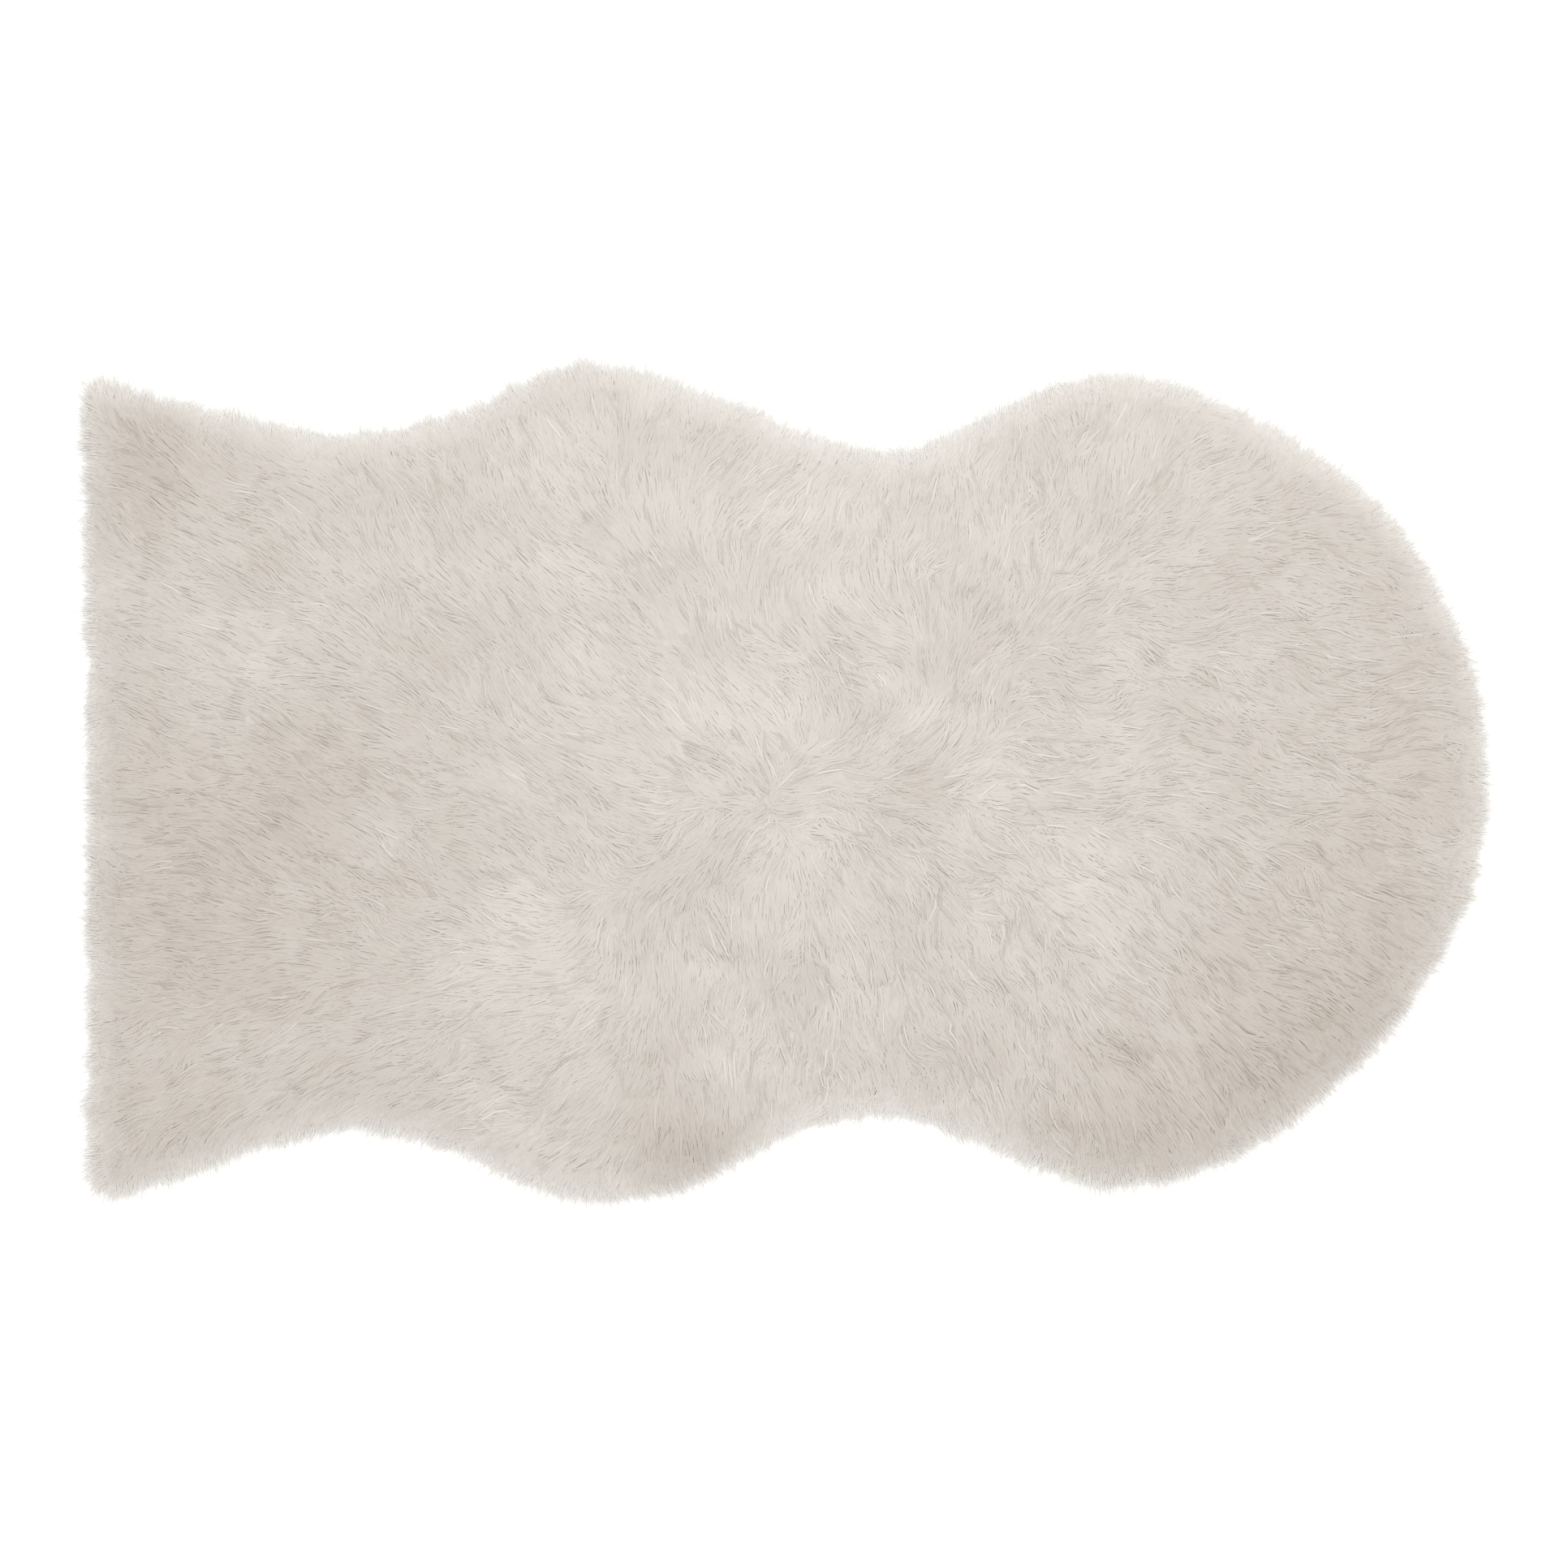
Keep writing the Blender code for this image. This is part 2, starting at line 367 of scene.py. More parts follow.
@dataclass(frozen=True)
class FurLay:
    """The direction in which the fur lies, all over the rug."""

    form: PileForm
    ruffle: Ruffle = Ruffle()
    reach: float = 22.0 * MM
    fall_off: float = 1.5
    rim_width: float = 9.5 * MM
    rim_pull: float = 2.3
    swirls: tuple[tuple[SmoothNoise, float], ...] = (
        (SmoothNoise(spacing=60.0 * MM, seed=11), 0.22),
        (SmoothNoise(spacing=24.0 * MM, seed=12), 0.42),
        (SmoothNoise(spacing=11.0 * MM, seed=13), 0.34),
    )

    def heading_at(self, places: np.ndarray) -> np.ndarray:
        """The heading of the fur's tips at places on the rug.

        Args:
            places: Places on the rug, in metres.

        Returns:
            One heading for each place, in radians.
        """
        x, y = places[..., 0], places[..., 1]
        across, along = np.zeros(x.shape), np.zeros(x.shape)
        for lay in LAY_OF_THE_FUR:
            near = 1.0 / ((x - lay.x) ** 2 + (y - lay.y) ** 2 + self.reach ** 2) ** self.fall_off
            across += near * math.cos(math.radians(lay.heading))
            along += near * math.sin(math.radians(lay.heading))
        size = np.hypot(across, along)
        outward = self.form.outward_at(places)
        pull = self.rim_pull * np.exp(-np.maximum(self.form.inset_at(places), 0.0) / self.rim_width)
        across = across / size + pull * np.cos(outward)
        along = along / size + pull * np.sin(outward)
        heading = np.arctan2(along, across)
        ruffle = self.ruffle.at(places)
        for noise, swing in self.swirls:
            heading = heading + swing * ruffle * noise.at(places)
        return heading


@dataclass(frozen=True)
class FurTone:
    """How light the fur looks from a step away, from 0 to 1, with a paler rim of painted light that lifts
    the shade the strands cast on one another there.
    """

    form: PileForm
    usual: float = 0.5
    # The rim's tone and its fade are painted light: paler fibres towards the rim that lift the shade the
    # strands cast on one another where they bend down over it
    rim: float = 0.69
    rim_painted_light_fade: float = 8.5 * MM
    rim_evenness: float = 0.75
    darkest: float = 0.02
    lightest: float = 0.98
    clouds: tuple[tuple[SmoothNoise, float], ...] = (
        (SmoothNoise(spacing=45.0 * MM, seed=31), 0.07),
        (SmoothNoise(spacing=20.0 * MM, seed=33), 0.04),
        (SmoothNoise(spacing=8.0 * MM, seed=32), 0.035),
    )

    def change_at(self, places: np.ndarray) -> np.ndarray:
        """How much the fur's tone differs from the usual one at places on the rug, from random clouds and
        from patches that are partly the fibres' own tone and partly painted light and shade.

        Args:
            places: Places on the rug, in metres.

        Returns:
            One change for each place, without the rim's.
        """
        change = patched(0.0, TONE_AND_PAINTED_LIGHT_PATCHES, places)
        for noise, swing in self.clouds:
            change = change + swing * noise.at(places)
        return change

    def with_painted_rim_light(self, change: np.ndarray, places: np.ndarray) -> np.ndarray:
        """The tone at places, from its change there, more even towards the rim and paler there with painted
        light.

        Args:
            change: How much the tone differs there from the usual one.
            places: Places on the rug, in metres.

        Returns:
            One tone for each place.
        """
        near = np.exp(-np.maximum(self.form.inset_at(places), 0.0) / self.rim_painted_light_fade)
        # Near the rim, painted light lifts the tone
        tone = self.usual + change * (1.0 - self.rim_evenness * near) + self.rim * near
        return np.clip(tone, self.darkest, self.lightest)


def staggered(form: PileForm, pitch: float, scatter: float, least_inset: float,
              random: np.random.Generator) -> np.ndarray:
    """Scatter places over the rug in staggered rows.

    Args:
        form: The form of the rug.
        pitch: The step from one place to the next in a row.
        scatter: How far a place strays, as a share of the pitch.
        least_inset: How far in from the rim the places stay.
        random: Where the scatter is drawn from.

    Returns:
        The places, with X and Y in each row.
    """
    low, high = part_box(form.solid.name)
    row_step = pitch * math.sqrt(3.0) / 2.0
    rows = np.arange(math.ceil((high[1] - low[1]) / row_step) + 1)
    columns = np.arange(math.ceil((high[0] - low[0]) / pitch) + 1)
    i, j = np.meshgrid(columns, rows, indexing="ij")
    x = low[0] + (i + 0.5 * (j % 2)).ravel() * pitch
    y = low[1] + j.ravel() * row_step
    x = x + random.uniform(-scatter, scatter, x.shape) * pitch
    y = y + random.uniform(-scatter, scatter, y.shape) * pitch
    places = np.column_stack([x, y])
    return places[form.inset_at(places) > least_inset]


@dataclass(frozen=True)
class EdgeWalk:
    """A walk round the rug, counter-clockwise, at a fixed distance in from its rim."""

    form: PileForm
    inset: float
    step: float
    probes: int = 400
    nudges: int = 3
    longest: float = 8.0
    first_steps: int = 10
    closed_within: float = 0.8

    def out(self, x: float, y: float) -> float:
        """The heading at one place that leads straight out over the edge, in radians."""
        return float(self.form.outward_at(np.array([x, y])))

    def line(self) -> list[Vector]:
        """Walk until the start is reached again, or for a few times the rug's length.

        Returns:
            The places passed, all at height zero.
        """
        low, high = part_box(self.form.solid.name)
        probe = np.linspace(0.0, high[0], self.probes)
        inner = self.form.inset_at(np.column_stack([probe, np.zeros(probe.shape)])) - self.inset
        x, y = float(probe[np.argmax(inner < 0.0)]), 0.0
        line = [Vector((x, y, 0.0))]
        for count in range(int(self.longest * (high[0] - low[0]) / self.step)):
            turn = self.out(x, y) + math.pi / 2.0
            x, y = x + self.step * math.cos(turn), y + self.step * math.sin(turn)
            for _ in range(self.nudges):
                out = self.out(x, y)
                off = float(self.form.inset_at(np.array([x, y]))) - self.inset
                x, y = x + off * math.cos(out), y + off * math.sin(out)
            here = Vector((x, y, 0.0))
            if count > self.first_steps and (here - line[0]).length < self.closed_within * self.step:
                break
            line.append(here)
        return line


def new_piece(name: str, points: np.ndarray, faces: list, material: bpy.types.Material,
              smooth: bool = True) -> bpy.types.Object:
    """Make one object of the scene from its points and faces.

    Args:
        name: The piece's name.
        points: Its points, one row each.
        faces: Its faces, each a list of rows.
        material: Its finish.
        smooth: Whether it is shaded smooth.

    Returns:
        The new object.
    """
    mesh = bpy.data.meshes.new(name)
    mesh.from_pydata([tuple(point) for point in points], [], faces)
    mesh.materials.append(material)
    mesh.polygons.foreach_set("use_smooth", [smooth] * len(mesh.polygons))
    mesh.update()
    piece = bpy.data.objects.new(name, mesh)
    bpy.context.collection.objects.link(piece)
    return piece


class Nodes:
    """Adds and links the nodes of one shader tree with few words."""

    def __init__(self, tree: bpy.types.NodeTree) -> None:
        """Work on a node tree, which may already hold nodes."""
        self.tree = tree

    def add(self, kind: str, **settings: object) -> bpy.types.Node:
        """Add a node.

        Args:
            kind: The node's type, such as "ShaderNodeMath".
            **settings: Its properties by name.

        Returns:
            The new node.
        """
        node = self.tree.nodes.new(kind)
        for name, value in settings.items():
            setattr(node, name, value)
        return node

    def feed(self, socket: bpy.types.NodeSocket, value: object) -> None:
        """Give an input socket its value.

        Args:
            socket: The input.
            value: Another socket to read, or a plain value.
        """
        if isinstance(value, bpy.types.NodeSocket):
            self.tree.links.new(value, socket)
        else:
            socket.default_value = value

    def fill(self, node: bpy.types.Node, values: dict[str, object]) -> bpy.types.Node:
        """Give some inputs of a node their values.

        Args:
            node: The node.
            values: Sockets or plain values, by the inputs' names.

        Returns:
            The same node.
        """
        for name, value in values.items():
            self.feed(node.inputs[name], value)
        return node

    def surface(self) -> bpy.types.Node:
        """The material's Principled BSDF."""
        return self.tree.nodes["Principled BSDF"]

    def math(self, operation: str, *values: object, clamp: bool = False) -> bpy.types.NodeSocket:
        """Do a sum.

        Args:
            operation: What is done, such as "MULTIPLY".
            *values: Its terms, sockets or numbers.
            clamp: Whether the result is kept from 0 to 1.

        Returns:
            The result's socket.
        """
        node = self.add("ShaderNodeMath", operation=operation, use_clamp=clamp)
        for socket, value in zip(node.inputs, values):
            self.feed(socket, value)
        return node.outputs[0]

    def mix(self, share: object, first: object, second: object) -> bpy.types.NodeSocket:
        """Mix two colours.

        Args:
            share: How much of the second colour there is, a socket or a number.
            first: The first colour, a socket or its values.
            second: The second colour, a socket or its values.

        Returns:
            The mixed colour's socket.
        """
        node = self.add("ShaderNodeMix", data_type="RGBA")
        sockets = {socket.name: socket for socket in node.inputs if socket.enabled}
        self.feed(sockets["Factor"], share)
        self.feed(sockets["A"], first)
        self.feed(sockets["B"], second)
        return next(socket for socket in node.outputs if socket.enabled)


class ShaderGroup:
    """A shader node group with named inputs and outputs, made once and placed where needed."""

    name = ""
    inputs: tuple[tuple[str, str, object], ...] = ()
    outputs: tuple[tuple[str, str], ...] = ()

    def fill(self, nodes: Nodes, given: dict, result: dict) -> None:
        """Join the group's inputs to its outputs.

        Args:
            nodes: The group's nodes.
            given: The input sockets' values, by name.
            result: The output sockets, by name.
        """
        raise NotImplementedError

    def tree(self) -> bpy.types.NodeTree:
        """Make the group on the first call, and find it again on later ones.

        Returns:
            The group's node tree.
        """
        known = bpy.data.node_groups.get(self.name)
        if known:
            return known
        group = bpy.data.node_groups.new(self.name, "ShaderNodeTree")
        for name, kind, value in self.inputs:
            group.interface.new_socket(name=name, in_out="INPUT", socket_type=kind).default_value = value
        for name, kind in self.outputs:
            group.interface.new_socket(name=name, in_out="OUTPUT", socket_type=kind)
        nodes = Nodes(group)
        given, result = nodes.add("NodeGroupInput"), nodes.add("NodeGroupOutput")
        self.fill(nodes, dict(given.outputs.items()), dict(result.inputs.items()))
        return group

    def place(self, nodes: Nodes, values: dict[str, object]) -> bpy.types.Node:
        """Put the group into a material.

        Args:
            nodes: The material's nodes.
            values: Sockets or plain values for its inputs, by name.

        Returns:
            The group's node there.
        """
        return nodes.fill(nodes.add("ShaderNodeGroup", node_tree=self.tree()), values)


NUMBER = "NodeSocketFloat"
COLOUR = "NodeSocketColor"
VECTOR = "NodeSocketVector"
GREY = (0.5, 0.5, 0.5, 1.0)
CLOTH_SPECULAR = 0.2
SHEEN_ROUGHNESS = 0.6


class FibreColour(ShaderGroup):
    """The colour of a fibre by its own tone, turning towards a root colour near its root."""

    name = "fibre colour"
    inputs = (
        ("Tone", NUMBER, 0.5), ("Along", NUMBER, 1.0), ("Root Fade", NUMBER, 0.5),
        ("Root", COLOUR, GREY), ("Dark", COLOUR, GREY), ("Usual", COLOUR, GREY),
        ("Light", COLOUR, GREY),
    )
    outputs = (("Colour", COLOUR),)

    def fill(self, nodes: Nodes, given: dict, result: dict) -> None:
        """Pass from dark over usual to light by tone, and from root to tip along the fibre."""
        lower = nodes.math("MULTIPLY", given["Tone"], 2.0, clamp=True)
        upper = nodes.math("MULTIPLY_ADD", given["Tone"], 2.0, -1.0, clamp=True)
        toned = nodes.mix(lower, given["Dark"], given["Usual"])
        toned = nodes.mix(upper, toned, given["Light"])
        rise = nodes.math("POWER", given["Along"], given["Root Fade"], clamp=True)
        nodes.feed(result["Colour"], nodes.mix(rise, given["Root"], toned))


class FibreGrain(ShaderGroup):
    """The matted grain of short fibres: small uneven tufts with fine noise over them."""

    name = "fibre grain"
    inputs = (("Place", VECTOR, (0.0, 0.0, 0.0)), ("Tufts", NUMBER, 150.0), ("Fibres", NUMBER, 900.0))
    outputs = (("Height", NUMBER), ("Tone", NUMBER))
    detail = 3.0
    fineness = 0.45

    def fill(self, nodes: Nodes, given: dict, result: dict) -> None:
        """Lay fine noise over coarse noise, and put out their height and their tone."""
        coarse = nodes.add("ShaderNodeTexNoise")
        fine = nodes.add("ShaderNodeTexNoise")
        for texture, scale in ((coarse, "Tufts"), (fine, "Fibres")):
            nodes.fill(texture, {"Vector": given["Place"], "Scale": given[scale], "Detail": self.detail})
        height = nodes.math("MULTIPLY_ADD", fine.outputs["Fac"], self.fineness, coarse.outputs["Fac"])
        nodes.feed(result["Height"], height)
        nodes.feed(result["Tone"], coarse.outputs["Fac"])


def new_material(name: str, roughness: float, sheen: float) -> tuple[bpy.types.Material, Nodes]:
    """Start a cloth material.

    Args:
        name: The material's name.
        roughness: The roughness of its surface.
        sheen: The weight of the soft light along its fibres.

    Returns:
        The material, and its nodes with one Principled BSDF.
    """
    material = bpy.data.materials.new(name)
    material.use_nodes = True
    nodes = Nodes(material.node_tree)
    nodes.fill(nodes.surface(), {"Roughness": roughness, "Specular IOR Level": CLOTH_SPECULAR,
                                 "Sheen Weight": sheen, "Sheen Roughness": SHEEN_ROUGHNESS})
    return material, nodes


@dataclass(frozen=True)
class PileFinish:
    """The long pile: warm off-white fibres, matt, with a root colour a little lighter than the usual tone,
    as painted light that lifts the shade deep in the pile.
    """

    name: str = "pile fibres"
    # The root colour is painted light: a little lighter than the usual tone, so the shaded lower parts of
    # the strands read less dark
    root: Colour = (0.555, 0.512, 0.468, 1.0)
    # The dark and light ends of the tone: the painted shade strands and darker patches reach towards the
    # first, the rim's painted light and the painted highlight strands towards the second
    dark: Colour = (0.362, 0.316, 0.262, 1.0)
    usual: Colour = (0.534, 0.492, 0.449, 1.0)
    light: Colour = (0.77, 0.748, 0.713, 1.0)
    root_fade: float = 0.4
    roughness: float = 0.75
    sheen: float = 0.15
    see_through: float = 0.55

    def material(self) -> bpy.types.Material:
        """Make the material: tone runs across the strand map and root to tip runs up it.

        A fibre seen from behind lets a part of the light through.

        Returns:
            The material.
        """
        material, nodes = new_material(self.name, self.roughness, self.sheen)
        strand = nodes.add("ShaderNodeSeparateXYZ")
        nodes.feed(strand.inputs[0], nodes.add("ShaderNodeUVMap", uv_map=STRAND_MAP).outputs["UV"])
        colour = FibreColour().place(nodes, {
            "Tone": strand.outputs["X"], "Along": strand.outputs["Y"], "Root Fade": self.root_fade,
            "Root": self.root, "Dark": self.dark, "Usual": self.usual, "Light": self.light,
        })
        front = nodes.fill(nodes.surface(), {"Base Color": colour.outputs["Colour"]})
        through = nodes.add("ShaderNodeBsdfTranslucent")
        nodes.fill(through, {"Color": colour.outputs["Colour"]})
        behind = nodes.add("ShaderNodeNewGeometry").outputs["Backfacing"]
        share = nodes.math("MULTIPLY", behind, self.see_through)
        either = nodes.add("ShaderNodeMixShader")
        for socket, value in zip(either.inputs, (share, front.outputs["BSDF"], through.outputs["BSDF"])):
            nodes.feed(socket, value)
        nodes.fill(nodes.tree.nodes["Material Output"], {"Surface": either.outputs["Shader"]})
        return material


@dataclass(frozen=True)
class UndercoatFinish:
    """The matted short fibres under the pile, a little lighter than the pile's usual tone: painted light
    that lifts the shade under the pile.
    """

    name: str = "undercoat fibres"
    root: Colour = (0.545, 0.502, 0.459, 1.0)
    dark: Colour = (0.371, 0.322, 0.268, 1.0)
    # The usual colour is painted light, a little lighter than the pile's usual tone
    usual: Colour = (0.57, 0.527, 0.484, 1.0)
    light: Colour = (0.74, 0.718, 0.684, 1.0)
    along: float = 0.8
    grain: float = 0.18
    bump: float = 0.5
    bump_depth: float = 1.5 * MM
    tufts_per_metre: float = 150.0
    fibres_per_metre: float = 900.0
    roughness: float = 0.9
    sheen: float = 0.2

    def material(self) -> bpy.types.Material:
        """Make the material, with its grain in colour and in bump.

        Returns:
            The material.
        """
        material, nodes = new_material(self.name, self.roughness, self.sheen)
        place = nodes.add("ShaderNodeTexCoord").outputs["Object"]
        grain = FibreGrain().place(nodes, {
            "Place": place, "Tufts": self.tufts_per_metre, "Fibres": self.fibres_per_metre,
        })
        fur = nodes.add("ShaderNodeAttribute", attribute_name=TONE_VALUES).outputs["Fac"]
        uneven = nodes.math("MULTIPLY_ADD", grain.outputs["Tone"], self.grain, -0.5 * self.grain)
        colour = FibreColour().place(nodes, {
            "Tone": nodes.math("ADD", fur, uneven), "Along": self.along, "Root Fade": 1.0,
            "Root": self.root, "Dark": self.dark, "Usual": self.usual, "Light": self.light,
        })
        bump = nodes.fill(nodes.add("ShaderNodeBump"), {
            "Strength": self.bump, "Distance": self.bump_depth, "Height": grain.outputs["Height"],
        })
        nodes.fill(nodes.surface(), {"Base Color": colour.outputs["Colour"],
                                     "Normal": bump.outputs["Normal"]})
        return material


@dataclass(frozen=True)
class GroundFinish:
    """The back of the knitted ground cloth: rows of small loops under a thin coating, with painted shade in
    the hollows between the loops.
    """

    name: str = "knitted ground"
    yarn: Colour = (0.66, 0.62, 0.57, 1.0)
    # The groove colour is painted shade: darker in the hollows between the loops
    painted_groove_shade: Colour = (0.50, 0.46, 0.42, 1.0)
    loops_per_metre: float = 420.0
    unevenness: float = 0.4
    tufts_per_metre: float = 260.0
    fibres_per_metre: float = 1500.0
    bump: float = 0.6
    bump_depth: float = 0.5 * MM
    roughness: float = 0.85
    sheen: float = 0.1

    def material(self) -> bpy.types.Material:
        """Make the material from two crossed rows of waves, roughened by the fibres' grain.

        Returns:
            The material.
        """
        material, nodes = new_material(self.name, self.roughness, self.sheen)
        place = nodes.add("ShaderNodeTexCoord").outputs["Object"]
        grain = FibreGrain().place(nodes, {
            "Place": place, "Tufts": self.tufts_per_metre, "Fibres": self.fibres_per_metre,
        })
        rows = []
        for direction in ("X", "Y"):
            wave = nodes.add("ShaderNodeTexWave", bands_direction=direction)
            nodes.fill(wave, {"Vector": place, "Scale": self.loops_per_metre / math.tau,
                              "Distortion": self.unevenness})
            rows.append(wave.outputs["Fac"])
        loops = nodes.math("MULTIPLY", *rows)
        height = nodes.math("MULTIPLY_ADD", grain.outputs["Height"], self.unevenness, loops)
        bump = nodes.fill(nodes.add("ShaderNodeBump"), {
            "Strength": self.bump, "Distance": self.bump_depth, "Height": height,
        })
        # The hollows between the loops take the painted shade colour
        nodes.fill(nodes.surface(), {"Base Color": nodes.mix(loops, self.painted_groove_shade, self.yarn),
                                     "Normal": bump.outputs["Normal"]})
        return material


@dataclass(frozen=True)
class GroundCloth:
    """The knitted cloth that carries the pile: a thin flat sheet, cut to the rug's outline."""

    form: PileForm
    thickness: float = 1.8 * MM
    inset: float = 10.5 * MM
    step: float = 8.0 * MM
    finish: GroundFinish = GroundFinish()

    def build(self) -> bpy.types.Object:
        """Build the cloth as a flat slab.

        Returns:
            The cloth.
        """
        line = EdgeWalk(self.form, self.inset, self.step).line()
        count = len(line)
        points = [(p.x, p.y, 0.0) for p in line] + [(p.x, p.y, self.thickness) for p in line]
        faces = [list(reversed(range(count))), list(range(count, 2 * count))]
        for i in range(count):
            after = (i + 1) % count
            faces.append([i, after, count + after, count + i])
        cloth = new_piece(Layer.GROUND.value, np.array(points), faces, self.finish.material(), False)
        turns = zip(line, line[1:] + line[:1])
        area = sum(a.x * b.y - b.x * a.y for a, b in turns) / 2.0
        return cloth


@dataclass(frozen=True)
class Undercoat:
    """The dense short fibres under the pile, as one matted mass that follows the crown."""

    form: PileForm
    tone: FurTone
    fill: float = 0.98
    bottom: float = 2.0 * MM
    inset: float = 12.0 * MM
    step: float = 5.0 * MM
    spacing: float = 7.0 * MM
    roughness: float = 0.4 * MM
    rim_drop: float = 2.0 * MM
    rim_drop_fade: float = 6.0 * MM
    scatter: float = 0.3
    edge_gap: float = 0.6
    merged_within: float = 1e-7
    seed: int = 21
    finish: UndercoatFinish = UndercoatFinish()

    def height_at(self, places: np.ndarray) -> np.ndarray:
        """The height of the matted top at places on the rug.

        Args:
            places: Places on the rug, in metres.

        Returns:
            One height for each place, in metres.
        """
        tufts = SmoothNoise(spacing=self.spacing, seed=self.seed).at(places)
        past_rim = np.maximum(self.form.inset_at(places) - self.inset, 0.0)
        drop = self.rim_drop * np.exp(-past_rim / self.rim_drop_fade)
        height = self.fill * self.form.height_at(places) + self.roughness * tufts - drop
        return np.maximum(height, self.bottom)

    def build(self) -> bpy.types.Object:
        """Build the mass: its top in triangles, a short wall and a flat bottom.

        Returns:
            The mass, with the fur's tone in each point.
        """
        random = np.random.default_rng(self.seed)
        line = EdgeWalk(self.form, self.inset, self.step).line()
        count = len(line)
        least_inset = self.inset + self.edge_gap * self.step
        inner = staggered(self.form, self.spacing, self.scatter, least_inset, random)
        flat = [p.to_2d() for p in line] + [Vector(place) for place in inner]
        rim = [list(range(count))]
        places, _, faces, sources, _, _ = delaunay_2d_cdt(flat, [], rim, 1, self.merged_within)
        top = np.array([(place.x, place.y) for place in places])
        points = np.column_stack([top, self.height_at(top)])
        around = {source[0]: i for i, source in enumerate(sources) if source[0] < count}
        sole = np.array([(p.x, p.y, self.bottom) for p in line])
        first = len(points)
        faces = [list(face) for face in faces]
        faces.append([first + i for i in reversed(range(count))])
        for i in range(count):
            after = (i + 1) % count
            faces.append([first + i, first + after, around[after], around[i]])
        points = np.vstack([points, sole])
        piece = new_piece(Layer.UNDERCOAT.value, points, faces, self.finish.material())
        tones = self.tone.with_painted_rim_light(self.tone.change_at(points), points)
        own = piece.data.attributes.new(TONE_VALUES, "FLOAT", "POINT")
        own.data.foreach_set("value", tones.astype(np.float32))
        return piece


@dataclass(frozen=True)
class Wisps:
    """The tufts into which the pile's strands gather, with one row of each array for each tuft.

    Roots and tips are places seen from above, and a bow is how far the tuft bends between them.
    """

    root: np.ndarray
    tip: np.ndarray
    bow: np.ndarray
    overhang: np.ndarray
    gathering: np.ndarray
    drop: np.ndarray
    tone: np.ndarray
    ruffle: np.ndarray
    # How many of the wisp's strands are toned darker as painted shade
    strokes: np.ndarray

    def part(self, rows: np.ndarray) -> "Wisps":
        """Some of the wisps, or all of them with some repeated."""
        return Wisps(**{name: values[rows] for name, values in vars(self).items()})


@dataclass(frozen=True)
class WispGrowth:
    """Places the tufts of the pile and grows them along the lay of the fur."""

    form: PileForm
    lay: FurLay
    tone: FurTone
    rim_pitch: float = 3.3 * MM
    rim_start: float = 1.5 * MM
    scatter: float = 0.38
    run: float = 27.0 * MM
    run_swing: float = 0.25
    run_stray: float = 0.14
    run_waves: SmoothNoise = SmoothNoise(spacing=16.0 * MM, seed=41)
    root_share: float = 0.45
    turn_stray: float = 0.10
    tip_turn: float = 1.3
    overhang: float = 14.3 * MM
    overhang_stray: float = 1.2 * MM
    gathering: float = 0.45
    gathered: float = 0.5
    gathered_by_ruffle: float = 0.7
    drop: float = 0.015
    tone_stray: float = 0.015

    def places(self, random: np.random.Generator) -> np.ndarray:
        """Choose where the wisps lie: evenly all over, and closer together along the rim.

        Args:
            random: Where the scatter is drawn from.

        Returns:
            The places, with X and Y in each row, from the tail to the head.
        """
        belt = self.form.rim_belt
        even = staggered(self.form, WISP_PITCH, self.scatter, belt, random)
        close = staggered(self.form, self.rim_pitch, self.scatter, self.rim_start, random)
        places = np.concatenate([even, close[self.form.inset_at(close) <= belt]])
        return places[np.argsort(places[:, 0], kind="stable")]

    def step(self, at: np.ndarray, length: np.ndarray, turn: np.ndarray) -> np.ndarray:
        """Go along the lay of the fur, with the heading read half way.

        Args:
            at: Where to start, with X and Y in each row.
            length: How far to go, below zero for against the lay.
            turn: How much the heading differs from the fur's.

        Returns:
            The places reached.
        """
        heading = self.lay.heading_at(at) + turn
        half_way = at + 0.5 * length[:, None] * towards(heading)
        heading = self.lay.heading_at(half_way) + turn
        return at + length[:, None] * towards(heading)

    def grow(self, random: np.random.Generator) -> Wisps:
        """Grow the wisps along the lay of the fur, from the middle of each both ways.

        Args:
            random: Where the wisps' unevenness is drawn from.

        Returns:
            The wisps.
        """
        middle = self.places(random)
        count = len(middle)
        ruffle = self.lay.ruffle.at(middle)
        swing = 1.0 + self.run_swing * self.run_waves.at(middle)
        length = self.run * (swing + random.normal(0.0, self.run_stray, count))
        stray = random.normal(0.0, self.turn_stray, count) * ruffle
        root = self.step(middle, -self.root_share * length, stray)
        reach = patched(0.0, REACH_PATCHES, middle)
        tip_length = (1.0 - self.root_share) * length + np.maximum(reach, 0.0)
        tip = self.step(middle, tip_length, self.tip_turn * stray)
        overhang = self.overhang + reach + random.normal(0.0, self.overhang_stray, count)
        most = self.gathered + self.gathered_by_ruffle * ruffle
        tight = np.clip(random.uniform(0.0, 1.0, count) ** 3 * most, 0.0, 1.0)
        tight = tight * self.form.inner_at(tip)
        drop = random.uniform(0.0, self.drop, count)
        tone = self.tone.change_at(root) + random.normal(0.0, self.tone_stray, count)
        return Wisps(root=root, tip=tip, bow=2.0 * middle - root - tip, overhang=overhang,
                     gathering=self.gathering * tight, drop=drop, tone=tone, ruffle=ruffle,
                     strokes=patched(1.0, PAINTED_SHADE_STROKE_PATCHES, middle))


